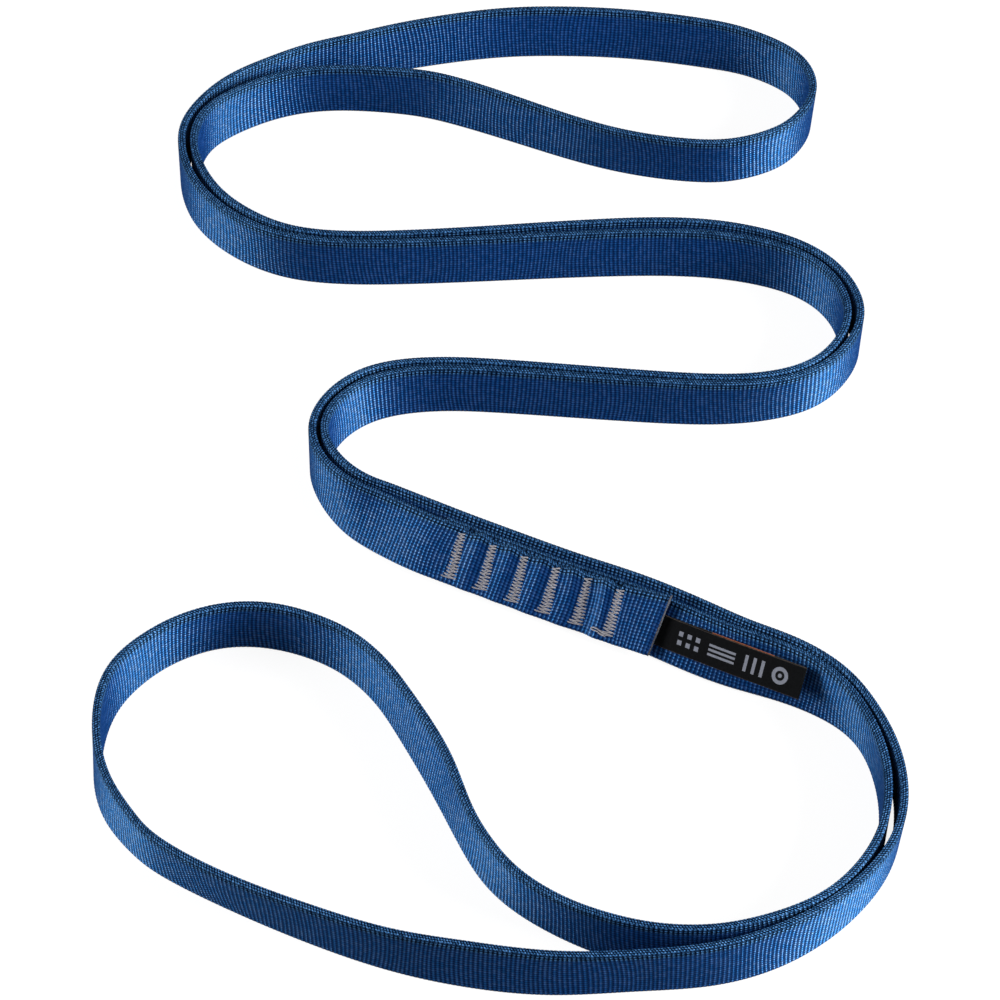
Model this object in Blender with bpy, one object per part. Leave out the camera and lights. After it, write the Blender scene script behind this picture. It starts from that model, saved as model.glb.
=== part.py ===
"""A sewn climbing sling of flat webbing, laid on its edge in a doubled serpentine.

One long strip of webbing makes the whole loop, and its two ends overlap in a splice. Six bar
tacks hold the overlap, each one an endless zigzag of thread that goes through both layers. A
folded label is sewn in behind the tab, and its free end flexes at the tab's cut edge.
Metres, +Z up. The strip stands on the plane z = 0.
"""
import math
from collections import namedtuple

import bmesh
import bpy
import numpy as np
from mathutils import Matrix, Vector

# Webbing
WEBBING_WIDTH = 0.018
WEBBING_THICKNESS = 0.0023
EDGE_ROUNDING = 0.0005

# Clearance between pieces that touch
SEAT = 0.0003

# Laid shape: its length on the floor, and how far round the strip the tab's cut end lies
LAID_LENGTH = 0.375
TAB_END_SHARE = 0.7239

# Splice
TAB_LENGTH = 0.0140
HIDDEN_END_LENGTH = 0.0065
LAYER_STEP_LENGTH = 0.026
TACK_COUNT = 6
TACK_PITCH = 0.0100
PUFF = 0.0005
EDGE_DIP = 0.0004
TAB_RISE = 0.0008
TAB_SPLAY = 0.0012
TAB_CUT_SLANT = math.radians(4)

# Bar tacks
TACK_MARGIN = 0.0016
TACK_FOOT_WIDTH = 0.0044
TACK_HEAD_WIDTH = 0.0026
THREAD_DIAMETER = 0.00045
STITCHES = 20
HOLE_RADIUS = 0.0006
HOLE_SIDES = 6

# Label
LABEL_WIDTH = 0.0092
LABEL_PLY = 0.00035
LABEL_FREE_LENGTH = 0.0443
LABEL_TAIL_LENGTH = 0.0013
LABEL_LOWERING = 0.0002
LABEL_FLEX_CLEARANCE = 0.0001
LABEL_STAND_OFF = 0.0012
LABEL_SWUNG_OUT = math.radians(5)
LABEL_TILT = math.radians(4.5)

# Fineness of the mesh
SHORT_STEP = 0.0025
LONG_STEP = 0.0085
TURN_STEP = math.radians(8)
CURVE_STEPS = 12
LAYER_STEP_SHARES = (1, 0.75, 0.5, 0.25, 0)
PUFF_STEP_SHARES = (0.35, 0.65, 1, 1.35, 1.65)

# The doubled stretch, from the top loop's neck through its left, right, left and right turns to
# the bottom loop's neck. Each row: across and along as shares of the laid length, the strands'
# clearance as a share of the room that a stitch needs, and the lean of the left and the right
# strand in degrees, towards the left of travel.
DOUBLED_ROUTE_SHARES = [
    (-0.252, 0.397, 2.1, 0, 0),
    (-0.258, 0.365, 2.0, 0, 0),
    (-0.250, 0.327, 1.9, 2, 1),
    (-0.232, 0.297, 1.7, 2, 1),
    (-0.205, 0.273, 1.6, 1, 0),
    (-0.170, 0.256, 1.5, 0, 0),
    (-0.110, 0.249, 1.6, 0, 0),
    (0.020, 0.255, 1.9, 3, 1),
    (0.140, 0.259, 2.0, 7, 3),
    (0.200, 0.251, 1.6, 6, 3),
    (0.243, 0.234, 1.7, 3, 2),
    (0.270, 0.207, 1.7, 0, 2),
    (0.280, 0.170, 2.0, 2, 3),
    (0.270, 0.137, 1.4, 4, 5),
    (0.247, 0.111, 0.9, 5, 6),
    (0.215, 0.097, 0.7, 5, 5),
    (0.175, 0.092, 0.7, 3, 4),
    (0.110, 0.095, 0.9, 1, 3),
    (0.000, 0.105, 1.3, 0, 1),
    (-0.055, 0.106, 1.4, -1, -1),
    (-0.100, 0.096, 1.6, -1, -2),
    (-0.130, 0.071, 1.6, -1, -1),
    (-0.142, 0.037, 1.4, 1, 0),
    (-0.133, 0.001, 1.4, 7, 5),
    (-0.117, -0.024, 1.4, 15, 17),
    (-0.099, -0.041, 1.3, 25, 27),
    (-0.065, -0.061, 1.2, 29, 31),
    (-0.040, -0.074, 1.2, 30, 31),
    (0.005, -0.096, 1.2, 29, 30),
    (0.050, -0.118, 1.2, 30, 31),
    (0.095, -0.139, 1.2, 32, 33),
    (0.140, -0.164, 1.2, 31, 33),
    (0.175, -0.182, 1.0, 28, 29),
    (0.211, -0.196, 0.7, 21, 22),
    (0.245, -0.214, 0.7, 9, 10),
    (0.269, -0.238, 0.9, 0, 0),
    (0.284, -0.276, 1.6, -2, 0),
    (0.286, -0.320, 2.3, 3, 2),
    (0.275, -0.363, 1.6, 6, 4),
    (0.252, -0.399, 0.9, 5, 5),
    (0.225, -0.425, 0.9, 3, 3),
]

# The two open loops, from the left strand round to the right one. Each row: across and along
# as shares of the laid length, and the lean in degrees, towards the left of travel.
TOP_LOOP_SHARES = [
    (-0.230, 0.417, 0),
    (-0.195, 0.439, 0),
    (-0.160, 0.450, 0),
    (-0.125, 0.452, 0),
    (-0.085, 0.448, 1),
    (-0.050, 0.439, 4),
    (0.025, 0.407, 1),
    (0.100, 0.377, -3),
    (0.165, 0.365, -4),
    (0.195, 0.367, -4),
    (0.220, 0.376, -4),
    (0.240, 0.391, -4),
    (0.257, 0.423, -4),
    (0.255, 0.453, -3),
    (0.240, 0.476, -2),
    (0.210, 0.495, -3),
    (0.180, 0.504, -6),
    (0.115, 0.516, -7),
    (0.050, 0.520, -8),
    (-0.010, 0.517, -7),
    (-0.085, 0.502, -4),
    (-0.125, 0.491, -1),
    (-0.160, 0.479, -1),
    (-0.195, 0.461, -1),
    (-0.230, 0.437, 0),
]
BOTTOM_LOOP_SHARES = [
    (0.194, -0.449, -1),
    (0.150, -0.463, -2),
    (0.095, -0.468, -4),
    (0.035, -0.471, -1),
    (-0.025, -0.464, 1),
    (-0.080, -0.449, -3),
    (-0.135, -0.426, -6),
    (-0.195, -0.395, -9),
    (-0.248, -0.362, -6),
    (-0.268, -0.343, -1),
    (-0.287, -0.316, 3),
    (-0.298, -0.277, 3),
    (-0.295, -0.229, -1),
    (-0.282, -0.197, -2),
    (-0.262, -0.173, 0),
    (-0.240, -0.157, 1),
    (-0.210, -0.146, 1),
    (-0.172, -0.147, -1),
    (-0.135, -0.161, -2),
    (-0.112, -0.178, -4),
    (-0.092, -0.202, -6),
    (-0.073, -0.237, -9),
    (-0.047, -0.293, -11),
    (-0.028, -0.337, -5),
    (-0.010, -0.372, -3),
    (0.013, -0.398, 1),
    (0.040, -0.418, 3),
    (0.067, -0.433, 2),
    (0.105, -0.447, -1),
    (0.150, -0.450, -2),
    (0.187, -0.442, -2),
]

Station = namedtuple("Station", "place ahead rise out lift")


def stitch_room():
    """What a stitch needs beside the strip: its clearance and its own thickness."""
    return SEAT + THREAD_DIAMETER


def smooth_tangents(points, steps):
    """Tangents that give the closed curve through the points an even bend."""
    count = len(points)
    system = np.zeros((count, count))
    sides = np.zeros_like(points)
    for i in range(count):
        before, after = (i - 1) % count, (i + 1) % count
        system[i, before] += 1 / steps[before]
        system[i, i] += 2 / steps[before] + 2 / steps[i]
        system[i, after] += 1 / steps[i]
        sides[i] += 3 * (points[i] - points[before]) / steps[before] ** 2
        sides[i] += 3 * (points[after] - points[i]) / steps[i] ** 2
    return np.linalg.solve(system, sides)


def smooth_closed_curve(points):
    """Places and directions along a smooth closed curve through the points."""
    ends = np.roll(points, -1, axis=0)
    steps = np.sqrt(np.linalg.norm((ends - points)[:, :2], axis=1))
    tangents = smooth_tangents(points, steps)
    places, directions = [], []
    for i, (start, end) in enumerate(zip(points, ends)):
        reach = end - start
        leave = steps[i] * tangents[i]
        arrive = steps[i] * tangents[(i + 1) % len(points)]
        for t in np.arange(CURVE_STEPS) / CURVE_STEPS:
            eased_t = 3 * t**2 - 2 * t**3
            bend = (t**3 - 2 * t**2 + t) * leave + (t**3 - t**2) * arrive
            places.append(start + eased_t * reach + bend)
            bend = (3 * t**2 - 4 * t + 1) * leave + (3 * t**2 - 2 * t) * arrive
            directions.append(6 * (t - t**2) * reach + bend)
    return np.array(places), np.array(directions)


def strand_spacing(lean_left, lean_right, clearance):
    """How far apart two strands stand on the floor, so that leaning ones clear each other too."""
    left, right = np.radians(lean_left), np.radians(lean_right)
    halves = WEBBING_THICKNESS / 2 * (1 / np.cos(left) + 1 / np.cos(right))
    overhang = WEBBING_WIDTH * np.cos(right) * np.maximum(0, np.tan(right) - np.tan(left))
    return halves + clearance / np.cos(right) + overhang


def route_rows():
    """Places and leans round the strip's closed centre line, from the bottom loop's neck on."""
    doubled = np.array(DOUBLED_ROUTE_SHARES)
    places = doubled[:, :2] * LAID_LENGTH
    legs = np.diff(places, axis=0)
    lengths = np.linalg.norm(legs, axis=1, keepdims=True)
    turns = legs[:-1] / lengths[:-1] * lengths[1:] + legs[1:] / lengths[1:] * lengths[:-1]
    ahead = np.vstack([legs[:1], turns, legs[-1:]])
    ahead /= np.linalg.norm(ahead, axis=1, keepdims=True)
    to_left = np.column_stack([-ahead[:, 1], ahead[:, 0]])
    clearance = doubled[:, 2] * stitch_room()
    half_spacing = strand_spacing(doubled[:, 3], doubled[:, 4], clearance)[:, None] / 2
    left = np.column_stack([places + to_left * half_spacing, -doubled[:, 3]])
    right = np.column_stack([places - to_left * half_spacing, doubled[:, 4]])
    scale = np.array([LAID_LENGTH, LAID_LENGTH, 1])
    top = np.array(TOP_LOOP_SHARES) * scale
    bottom = np.array(BOTTOM_LOOP_SHARES) * scale
    return np.vstack([left[::-1], top, right, bottom[::-1]])


def lowest_corner(lean):
    """How far the leaning strip's lowest corner lies below the middle of its lower edge."""
    half = WEBBING_THICKNESS / 2
    foot = math.sin(lean) * (half - EDGE_ROUNDING)
    side = math.sin(lean) * half - math.cos(lean) * EDGE_ROUNDING
    return max(foot, side)


class Route:
    """The strip's closed centre line, read by the length run along it."""

    def __init__(self):
        places, directions = smooth_closed_curve(route_rows())
        legs = np.linalg.norm((np.roll(places, -1, axis=0) - places)[:, :2], axis=1)
        self.runs = np.concatenate([[0], np.cumsum(legs)])
        self.length = self.runs[-1]
        self.places = np.vstack([places, places[:1]])
        headings = np.arctan2(directions[:, 1], directions[:, 0])
        self.headings = np.unwrap(np.append(headings, headings[0]))

    def heading(self, run):
        laps, inside = divmod(run, self.length)
        whole_turn = self.headings[-1] - self.headings[0]
        return np.interp(inside, self.runs, self.headings) + laps * whole_turn

    def station(self, run):
        """The strip's frame at this run: ahead, rise up its width, and out of its left face."""
        inside = run % self.length
        across, along, lean = (np.interp(inside, self.runs, row) for row in self.places.T)
        heading, lean = self.heading(run), math.radians(lean)
        ahead = Vector((math.cos(heading), math.sin(heading), 0))
        left = Vector((-ahead.y, ahead.x, 0))
        up = Vector((0, 0, 1))
        rise = up * math.cos(lean) + left * math.sin(lean)
        out = left * math.cos(lean) - up * math.sin(lean)
        return Station(Vector((across, along, 0)), ahead, rise, out, lowest_corner(abs(lean)))

    def point(self, run, height, depth):
        """A point at this height up the strip's width and this depth out to its left."""
        here = self.station(run)
        lifted = here.place + Vector((0, 0, here.lift))
        return lifted + here.rise * height + here.out * depth

    def tab_end(self):
        return TAB_END_SHARE * self.length

    def hidden_end(self):
        overlap = HIDDEN_END_LENGTH + (TACK_COUNT - 1) * TACK_PITCH + TAB_LENGTH
        return self.tab_end() - overlap

    def tack(self, number):
        """Where a bar tack crosses the strip: number 0 is nearest the hidden end."""
        return self.hidden_end() + HIDDEN_END_LENGTH + number * TACK_PITCH

    def label_end(self):
        """Where the label's sewn end stops, just past the last bar tack."""
        return self.tack(TACK_COUNT - 1) - TACK_FOOT_WIDTH / 2 - LABEL_TAIL_LENGTH


def eased(value):
    """A smooth step from 0 to 1 as the value goes from 0 to 1."""
    value = min(1, max(0, value))
    return value * value * (3 - 2 * value)


def label_thickness():
    return 2 * LABEL_PLY


def label_flex_room():
    """Bare length either side of the flex line, so that the free end can swing square."""
    return label_thickness() / 2 + LABEL_FLEX_CLEARANCE


def layer_offset(route, run):
    """How far in front of the under layer's middle the outer layer's middle lies."""
    step_end = route.hidden_end() - SEAT
    stepped = eased((run - step_end + LAYER_STEP_LENGTH) / LAYER_STEP_LENGTH)
    lift_start = route.tack(TACK_COUNT - 2) + TACK_FOOT_WIDTH / 2
    lift_end = route.label_end() - SEAT
    lifted = eased((run - lift_start) / (lift_end - lift_start))
    return stepped * (WEBBING_THICKNESS + SEAT) + lifted * (label_thickness() + SEAT)


def puff_share(route, run):
    """1 midway between two bar tacks, and 0 on a tack and beyond the outermost ones."""
    places = (run - route.tack(0)) / TACK_PITCH
    if not 0 < places < TACK_COUNT - 1:
        return 0
    from_tack = abs(places - round(places)) * TACK_PITCH
    flat = TACK_FOOT_WIDTH / 2
    return eased((from_tack - flat) / (TACK_PITCH / 2 - flat))


def tab_share(route, run):
    """0 up to the last bar tack, then evenly up to 1 at the tab's cut end."""
    start = route.tack(TACK_COUNT - 1) + TACK_FOOT_WIDTH / 2
    return max(0, (run - start) / (route.tab_end() - start))


def tab_ring(route, run, corners):
    """A ring of the outer layer, which rises and splays towards the slanted cut."""
    free = tab_share(route, run)
    top = max(height for depth, height in corners)
    ring = []
    for depth, height in corners:
        raised = height + free * (TAB_RISE + TAB_SPLAY * height / top)
        ring.append(route.point(run - free * (top - height) * math.tan(TAB_CUT_SLANT), raised, depth))
    return ring


def section(front, back, top):
    """The strip's outline across its width, as depths and heights, with bevelled edges."""
    r = EDGE_ROUNDING
    return [
        (front + r, 0), (back - r, 0), (back, r), (back, top - r),
        (back - r, top), (front + r, top), (front, top - r), (front, r),
    ]


def evenly_bent_runs(route, start, end):
    """Runs from start to end, closer together where the strip bends more."""
    runs = [start]
    while runs[-1] < end:
        here = runs[-1]
        turned = abs(route.heading(here + SHORT_STEP) - route.heading(here - SHORT_STEP))
        whole = 2 * SHORT_STEP * TURN_STEP / turned if turned else LONG_STEP
        runs.append(here + min(LONG_STEP, max(SHORT_STEP, whole)))
    stretch = (end - start) / (runs[-1] - start)
    return [start + (run - start) * stretch for run in runs]


def splice_runs(route):
    """Runs along the outer layer: down its step, flat on each tack and round each puff."""
    step_end = route.hidden_end() - SEAT
    runs = [step_end - share * LAYER_STEP_LENGTH for share in LAYER_STEP_SHARES]
    flat = TACK_FOOT_WIDTH / 2
    slope = TACK_PITCH / 2 - flat
    for number in range(TACK_COUNT):
        middle = route.tack(number)
        runs += [middle - flat, middle, middle + flat]
        if number < TACK_COUNT - 1:
            runs += [middle + flat + slope * share for share in PUFF_STEP_SHARES]
    return runs + [route.tab_end() - TAB_LENGTH / 3, route.tab_end()]


def webbing_rings(route):
    """Corners of every section of the strip, from the hidden end all the way round to the tab."""
    half = WEBBING_THICKNESS / 2
    over_splice = splice_runs(route)
    rings = []
    for run in evenly_bent_runs(route, route.hidden_end(), over_splice[0] + route.length):
        corners = section(-half, half, WEBBING_WIDTH)
        rings.append([route.point(run, height, depth) for depth, height in corners])
    for run in over_splice[1:]:
        offset = layer_offset(route, run)
        puff = puff_share(route, run)
        sewn = route.tack(0) <= run <= route.tack(TACK_COUNT - 1)
        top = WEBBING_WIDTH - EDGE_DIP * (1 - puff) * sewn
        corners = section(-half - offset - puff * PUFF, half - offset, top)
        rings.append(tab_ring(route, run, corners))
    return rings


def loft(bm, rings):
    """A closed body through rings of equally many corners, with a flat cap at either end."""
    loops = [[bm.verts.new(corner) for corner in ring] for ring in rings]
    for near, far in zip(loops, loops[1:]):
        for i in range(len(near)):
            j = (i + 1) % len(near)
            bm.faces.new((near[i], near[j], far[j], far[i]))
    bm.faces.new(loops[0])
    bm.faces.new(loops[-1])


def lofted_object(name, bodies, parent):
    """An object of one or more lofted bodies, with their faces turned outwards."""
    bm = bmesh.new()
    for rings in bodies:
        loft(bm, rings)
    bmesh.ops.recalc_face_normals(bm, faces=bm.faces)
    mesh = bpy.data.meshes.new(name)
    bm.to_mesh(mesh)
    bm.free()
    return placed(bpy.data.objects.new(name, mesh), parent)


def placed(made, parent):
    bpy.context.scene.collection.objects.link(made)
    made.parent = parent
    return made


def needle_heights():
    """Heights of a tack's lower and upper needle holes."""
    return TACK_MARGIN, WEBBING_WIDTH - TACK_MARGIN


def needle_pin(route, number, height):
    """A pin for one needle hole, through both layers and short of the strand behind them."""
    run = route.tack(number)
    here = route.station(run)
    half, overrun = WEBBING_THICKNESS / 2, stitch_room() / 2
    ends = []
    for depth in (-half - layer_offset(route, run) - overrun, half + overrun):
        centre = route.point(run, height, depth)
        angles = [math.tau * side / HOLE_SIDES for side in range(HOLE_SIDES)]
        spokes = [here.ahead * math.cos(angle) + here.rise * math.sin(angle) for angle in angles]
        ends.append([centre + spoke * HOLE_RADIUS for spoke in spokes])
    return ends


def needle_holes(route, parent):
    tacks = range(TACK_COUNT)
    pins = [needle_pin(route, tack, height) for tack in tacks for height in needle_heights()]
    cutter = lofted_object("needle_holes", pins, parent)
    cutter.hide_render = True
    cutter.display_type = "WIRE"
    return cutter


def stitch_face(route, number, depth):
    """Stitches of one face of a bar tack, up from its lower needle hole to its upper one."""
    middle = route.tack(number)
    lower, upper = needle_heights()
    points = [(middle, lower)]
    for stitch in range(STITCHES):
        share = stitch / (STITCHES - 1)
        width = TACK_FOOT_WIDTH + (TACK_HEAD_WIDTH - TACK_FOOT_WIDTH) * share
        side = (width - THREAD_DIAMETER) / 2 * (-1) ** stitch
        height = lower + (stitch + 1) / (STITCHES + 1) * (upper - lower)
        points += [(middle - side, height), (middle + side, height)]
    points.append((middle, upper))
    return [route.point(run, height, depth) for run, height in points]


def bar_tack(route, number, parent):
    """An endless thread: up the front, through the upper hole, down the back and out again."""
    standing = WEBBING_THICKNESS / 2 + SEAT + THREAD_DIAMETER / 2
    front = -standing - layer_offset(route, route.tack(number))
    points = stitch_face(route, number, front) + stitch_face(route, number, standing)[::-1]
    name = f"bar_tack_{number + 1}"
    curve = bpy.data.curves.new(name, "CURVE")
    curve.dimensions = "3D"
    curve.bevel_depth = THREAD_DIAMETER / 2
    curve.bevel_resolution = 0
    thread = curve.splines.new("POLY")
    thread.points.add(len(points) - 1)
    for place, point in zip(thread.points, points):
        place.co = (*point, 1)
    thread.use_cyclic_u = True
    return placed(bpy.data.objects.new(name, curve), parent)


def label_bottom():
    return (WEBBING_WIDTH - LABEL_WIDTH) / 2 - LABEL_LOWERING


def label_sewn_end(route, parent):
    """The label's two plies between the layers, from past the last tack to its flex line."""
    start = route.label_end()
    reach = route.tab_end() + LABEL_STAND_OFF - label_flex_room() - start
    back = -WEBBING_THICKNESS / 2 - SEAT
    low, high = label_bottom(), label_bottom() + LABEL_WIDTH
    front = back - label_thickness()
    rings = []
    for share in (0, 0.25, 0.5, 0.75, 1):
        corners = ((low, back), (high, back), (high, front), (low, front))
        run = start + share * reach
        rings.append([route.point(run, height, depth) for height, depth in corners])
    return lofted_object("label_sewn_end", [rings], parent)


def label_flex_line(route, parent):
    """An empty on the line where the label flexes: its X runs along the label, its Z up it."""
    run = route.tab_end() + LABEL_STAND_OFF
    here = route.station(run)
    depth = -(WEBBING_THICKNESS + label_thickness()) / 2 - SEAT
    line = placed(bpy.data.objects.new("label_flex_line", None), parent)
    axes = Matrix((here.ahead, here.out, here.rise)).transposed().to_4x4()
    middle = route.point(run, label_bottom() + LABEL_WIDTH / 2, depth)
    swing = Matrix.Rotation(-LABEL_SWUNG_OUT, 4, "Z")
    line.matrix_local = Matrix.Translation(middle) @ axes @ swing
    return line


def label_free_end(parent):
    """Both plies beyond the tab, with the rounded fold at the tip."""
    half = label_thickness() / 2
    fold = LABEL_FREE_LENGTH - half
    outline = [(label_flex_room(), -half)]
    for angle in (math.radians(degrees) for degrees in (-90, -45, 0, 45, 90)):
        outline.append((fold + half * math.cos(angle), half * math.sin(angle)))
    outline.append((label_flex_room(), half))
    edges = (-LABEL_WIDTH / 2, LABEL_WIDTH / 2)
    rings = [[Vector((x, y, z)) for x, y in outline] for z in edges]
    label = lofted_object("label_free_end", [rings], parent)
    label.rotation_euler.y = -LABEL_TILT
    return label


def shade_round(made):
    made.data.shade_smooth()
    made.data.set_sharp_from_angle(angle=math.radians(50))


def paint(made, colour, roughness):
    material = bpy.data.materials.new(made.name)
    material.use_nodes = True
    shader = material.node_tree.nodes["Principled BSDF"]
    shader.inputs["Base Color"].default_value = (*colour, 1)
    shader.inputs["Roughness"].default_value = roughness
    shader.inputs["Metallic"].default_value = 0
    made.data.materials.append(material)


def main():
    for old in list(bpy.data.objects):
        bpy.data.objects.remove(old)
    route = Route()
    rings = webbing_rings(route)
    corners = np.array([corner for ring in rings for corner in ring])
    middle = (corners.min(axis=0) + corners.max(axis=0)) / 2
    frame = placed(bpy.data.objects.new("sling_frame", None), None)
    frame.location = (-middle[0], -middle[1], 0)

    webbing = lofted_object("webbing", [rings], frame)
    shade_round(webbing)
    holes = webbing.modifiers.new("needle_holes", "BOOLEAN")
    holes.operation = "DIFFERENCE"
    holes.object = needle_holes(route, frame)
    paint(webbing, (0.008, 0.075, 0.28), 0.5)

    for number in range(TACK_COUNT):
        paint(bar_tack(route, number, frame), (0.42, 0.38, 0.37), 0.7)

    paint(label_sewn_end(route, frame), (0.006, 0.006, 0.007), 0.8)
    free_end = label_free_end(label_flex_line(route, frame))
    shade_round(free_end)
    paint(free_end, (0.006, 0.006, 0.007), 0.8)


main()
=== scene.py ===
"""The looks of a laid climbing sling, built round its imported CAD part."""
import math
import random

import bmesh
import bpy
import numpy as np
from mathutils import Matrix, Vector


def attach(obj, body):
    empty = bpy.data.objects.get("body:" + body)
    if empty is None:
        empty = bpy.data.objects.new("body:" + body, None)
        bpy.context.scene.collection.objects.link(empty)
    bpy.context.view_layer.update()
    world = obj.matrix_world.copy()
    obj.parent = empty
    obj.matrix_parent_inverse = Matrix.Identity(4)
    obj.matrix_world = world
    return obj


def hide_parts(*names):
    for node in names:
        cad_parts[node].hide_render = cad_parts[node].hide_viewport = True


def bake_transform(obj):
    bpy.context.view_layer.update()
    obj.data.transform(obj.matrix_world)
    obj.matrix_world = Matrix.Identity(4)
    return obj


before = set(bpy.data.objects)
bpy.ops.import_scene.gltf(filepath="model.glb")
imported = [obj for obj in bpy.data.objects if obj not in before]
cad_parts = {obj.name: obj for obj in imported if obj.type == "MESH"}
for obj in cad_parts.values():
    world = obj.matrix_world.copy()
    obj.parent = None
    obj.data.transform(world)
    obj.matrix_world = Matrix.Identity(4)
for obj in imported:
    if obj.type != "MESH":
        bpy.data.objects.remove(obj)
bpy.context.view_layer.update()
for made in bpy.context.selected_objects:
    made.select_set(False)


# ---- Webbing route ---------------------------------------------------------------------------
# The sling stands on the floor on its lower edge. It is laid as a doubled serpentine with an open
# loop at either end, and one closed centre line carries everything that is woven or sewn.
webbing_width = 0.018
webbing_thickness = 0.0023
half_thickness = webbing_thickness / 2
edge_rounding = 0.0005
seat = 0.0003
stitch_room = seat + 0.00045
laid_length = 0.375
steps_per_span = 48

# Across and along as shares of the laid length, the strands' clearance as a share of the room
# that a stitch needs, and the lean of the left and the right strand in degrees.
doubled_route_shares = [
    (-0.252, 0.397, 2.1, 0, 0),
    (-0.258, 0.365, 2.0, 0, 0),
    (-0.250, 0.327, 1.9, 2, 1),
    (-0.232, 0.297, 1.7, 2, 1),
    (-0.205, 0.273, 1.6, 1, 0),
    (-0.170, 0.256, 1.5, 0, 0),
    (-0.110, 0.249, 1.6, 0, 0),
    (0.020, 0.255, 1.9, 3, 1),
    (0.140, 0.259, 2.0, 7, 3),
    (0.200, 0.251, 1.6, 6, 3),
    (0.243, 0.234, 1.7, 3, 2),
    (0.270, 0.207, 1.7, 0, 2),
    (0.280, 0.170, 2.0, 2, 3),
    (0.270, 0.137, 1.4, 4, 5),
    (0.247, 0.111, 0.9, 5, 6),
    (0.215, 0.097, 0.7, 5, 5),
    (0.175, 0.092, 0.7, 3, 4),
    (0.110, 0.095, 0.9, 1, 3),
    (0.000, 0.105, 1.3, 0, 1),
    (-0.055, 0.106, 1.4, -1, -1),
    (-0.100, 0.096, 1.6, -1, -2),
    (-0.130, 0.071, 1.6, -1, -1),
    (-0.142, 0.037, 1.4, 1, 0),
    (-0.133, 0.001, 1.4, 7, 5),
    (-0.117, -0.024, 1.4, 15, 17),
    (-0.099, -0.041, 1.3, 25, 27),
    (-0.065, -0.061, 1.2, 29, 31),
    (-0.040, -0.074, 1.2, 30, 31),
    (0.005, -0.096, 1.2, 29, 30),
    (0.050, -0.118, 1.2, 30, 31),
    (0.095, -0.139, 1.2, 32, 33),
    (0.140, -0.164, 1.2, 31, 33),
    (0.175, -0.182, 1.0, 28, 29),
    (0.211, -0.196, 0.7, 21, 22),
    (0.245, -0.214, 0.7, 9, 10),
    (0.269, -0.238, 0.9, 0, 0),
    (0.284, -0.276, 1.6, -2, 0),
    (0.286, -0.320, 2.3, 3, 2),
    (0.275, -0.363, 1.6, 6, 4),
    (0.252, -0.399, 0.9, 5, 5),
    (0.225, -0.425, 0.9, 3, 3),
]
# The two open loops: across and along as shares of the laid length, and the lean in degrees.
top_loop_shares = [
    (-0.230, 0.417, 0),
    (-0.195, 0.439, 0),
    (-0.160, 0.450, 0),
    (-0.125, 0.452, 0),
    (-0.085, 0.448, 1),
    (-0.050, 0.439, 4),
    (0.025, 0.407, 1),
    (0.100, 0.377, -3),
    (0.165, 0.365, -4),
    (0.195, 0.367, -4),
    (0.220, 0.376, -4),
    (0.240, 0.391, -4),
    (0.257, 0.423, -4),
    (0.255, 0.453, -3),
    (0.240, 0.476, -2),
    (0.210, 0.495, -3),
    (0.180, 0.504, -6),
    (0.115, 0.516, -7),
    (0.050, 0.520, -8),
    (-0.010, 0.517, -7),
    (-0.085, 0.502, -4),
    (-0.125, 0.491, -1),
    (-0.160, 0.479, -1),
    (-0.195, 0.461, -1),
    (-0.230, 0.437, 0),
]
bottom_loop_shares = [
    (0.194, -0.449, -1),
    (0.150, -0.463, -2),
    (0.095, -0.468, -4),
    (0.035, -0.471, -1),
    (-0.025, -0.464, 1),
    (-0.080, -0.449, -3),
    (-0.135, -0.426, -6),
    (-0.195, -0.395, -9),
    (-0.248, -0.362, -6),
    (-0.268, -0.343, -1),
    (-0.287, -0.316, 3),
    (-0.298, -0.277, 3),
    (-0.295, -0.229, -1),
    (-0.282, -0.197, -2),
    (-0.262, -0.173, 0),
    (-0.240, -0.157, 1),
    (-0.210, -0.146, 1),
    (-0.172, -0.147, -1),
    (-0.135, -0.161, -2),
    (-0.112, -0.178, -4),
    (-0.092, -0.202, -6),
    (-0.073, -0.237, -9),
    (-0.047, -0.293, -11),
    (-0.028, -0.337, -5),
    (-0.010, -0.372, -3),
    (0.013, -0.398, 1),
    (0.040, -0.418, 3),
    (0.067, -0.433, 2),
    (0.105, -0.447, -1),
    (0.150, -0.450, -2),
    (0.187, -0.442, -2),
]


def route_rows():
    """Places and leans round the closed centre line, from the bottom loop's neck on."""
    doubled = np.array(doubled_route_shares)
    places = doubled[:, :2] * laid_length
    legs = np.diff(places, axis=0)
    lengths = np.linalg.norm(legs, axis=1, keepdims=True)
    turns = legs[:-1] / lengths[:-1] * lengths[1:] + legs[1:] / lengths[1:] * lengths[:-1]
    ahead = np.vstack([legs[:1], turns, legs[-1:]])
    ahead /= np.linalg.norm(ahead, axis=1, keepdims=True)
    to_left = np.column_stack([-ahead[:, 1], ahead[:, 0]])
    left_lean, right_lean = np.radians(doubled[:, 3]), np.radians(doubled[:, 4])
    halves = half_thickness * (1 / np.cos(left_lean) + 1 / np.cos(right_lean))
    overhang = np.maximum(0, np.tan(right_lean) - np.tan(left_lean))
    spacing = halves + doubled[:, 2] * stitch_room / np.cos(right_lean)
    spacing += webbing_width * np.cos(right_lean) * overhang
    half_spacing = spacing[:, None] / 2
    left = np.column_stack([places + to_left * half_spacing, -doubled[:, 3]])
    right = np.column_stack([places - to_left * half_spacing, doubled[:, 4]])
    scale = np.array([laid_length, laid_length, 1])
    top = np.array(top_loop_shares) * scale
    bottom = np.array(bottom_loop_shares) * scale
    return np.vstack([left[::-1], top, right, bottom[::-1]])


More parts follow.
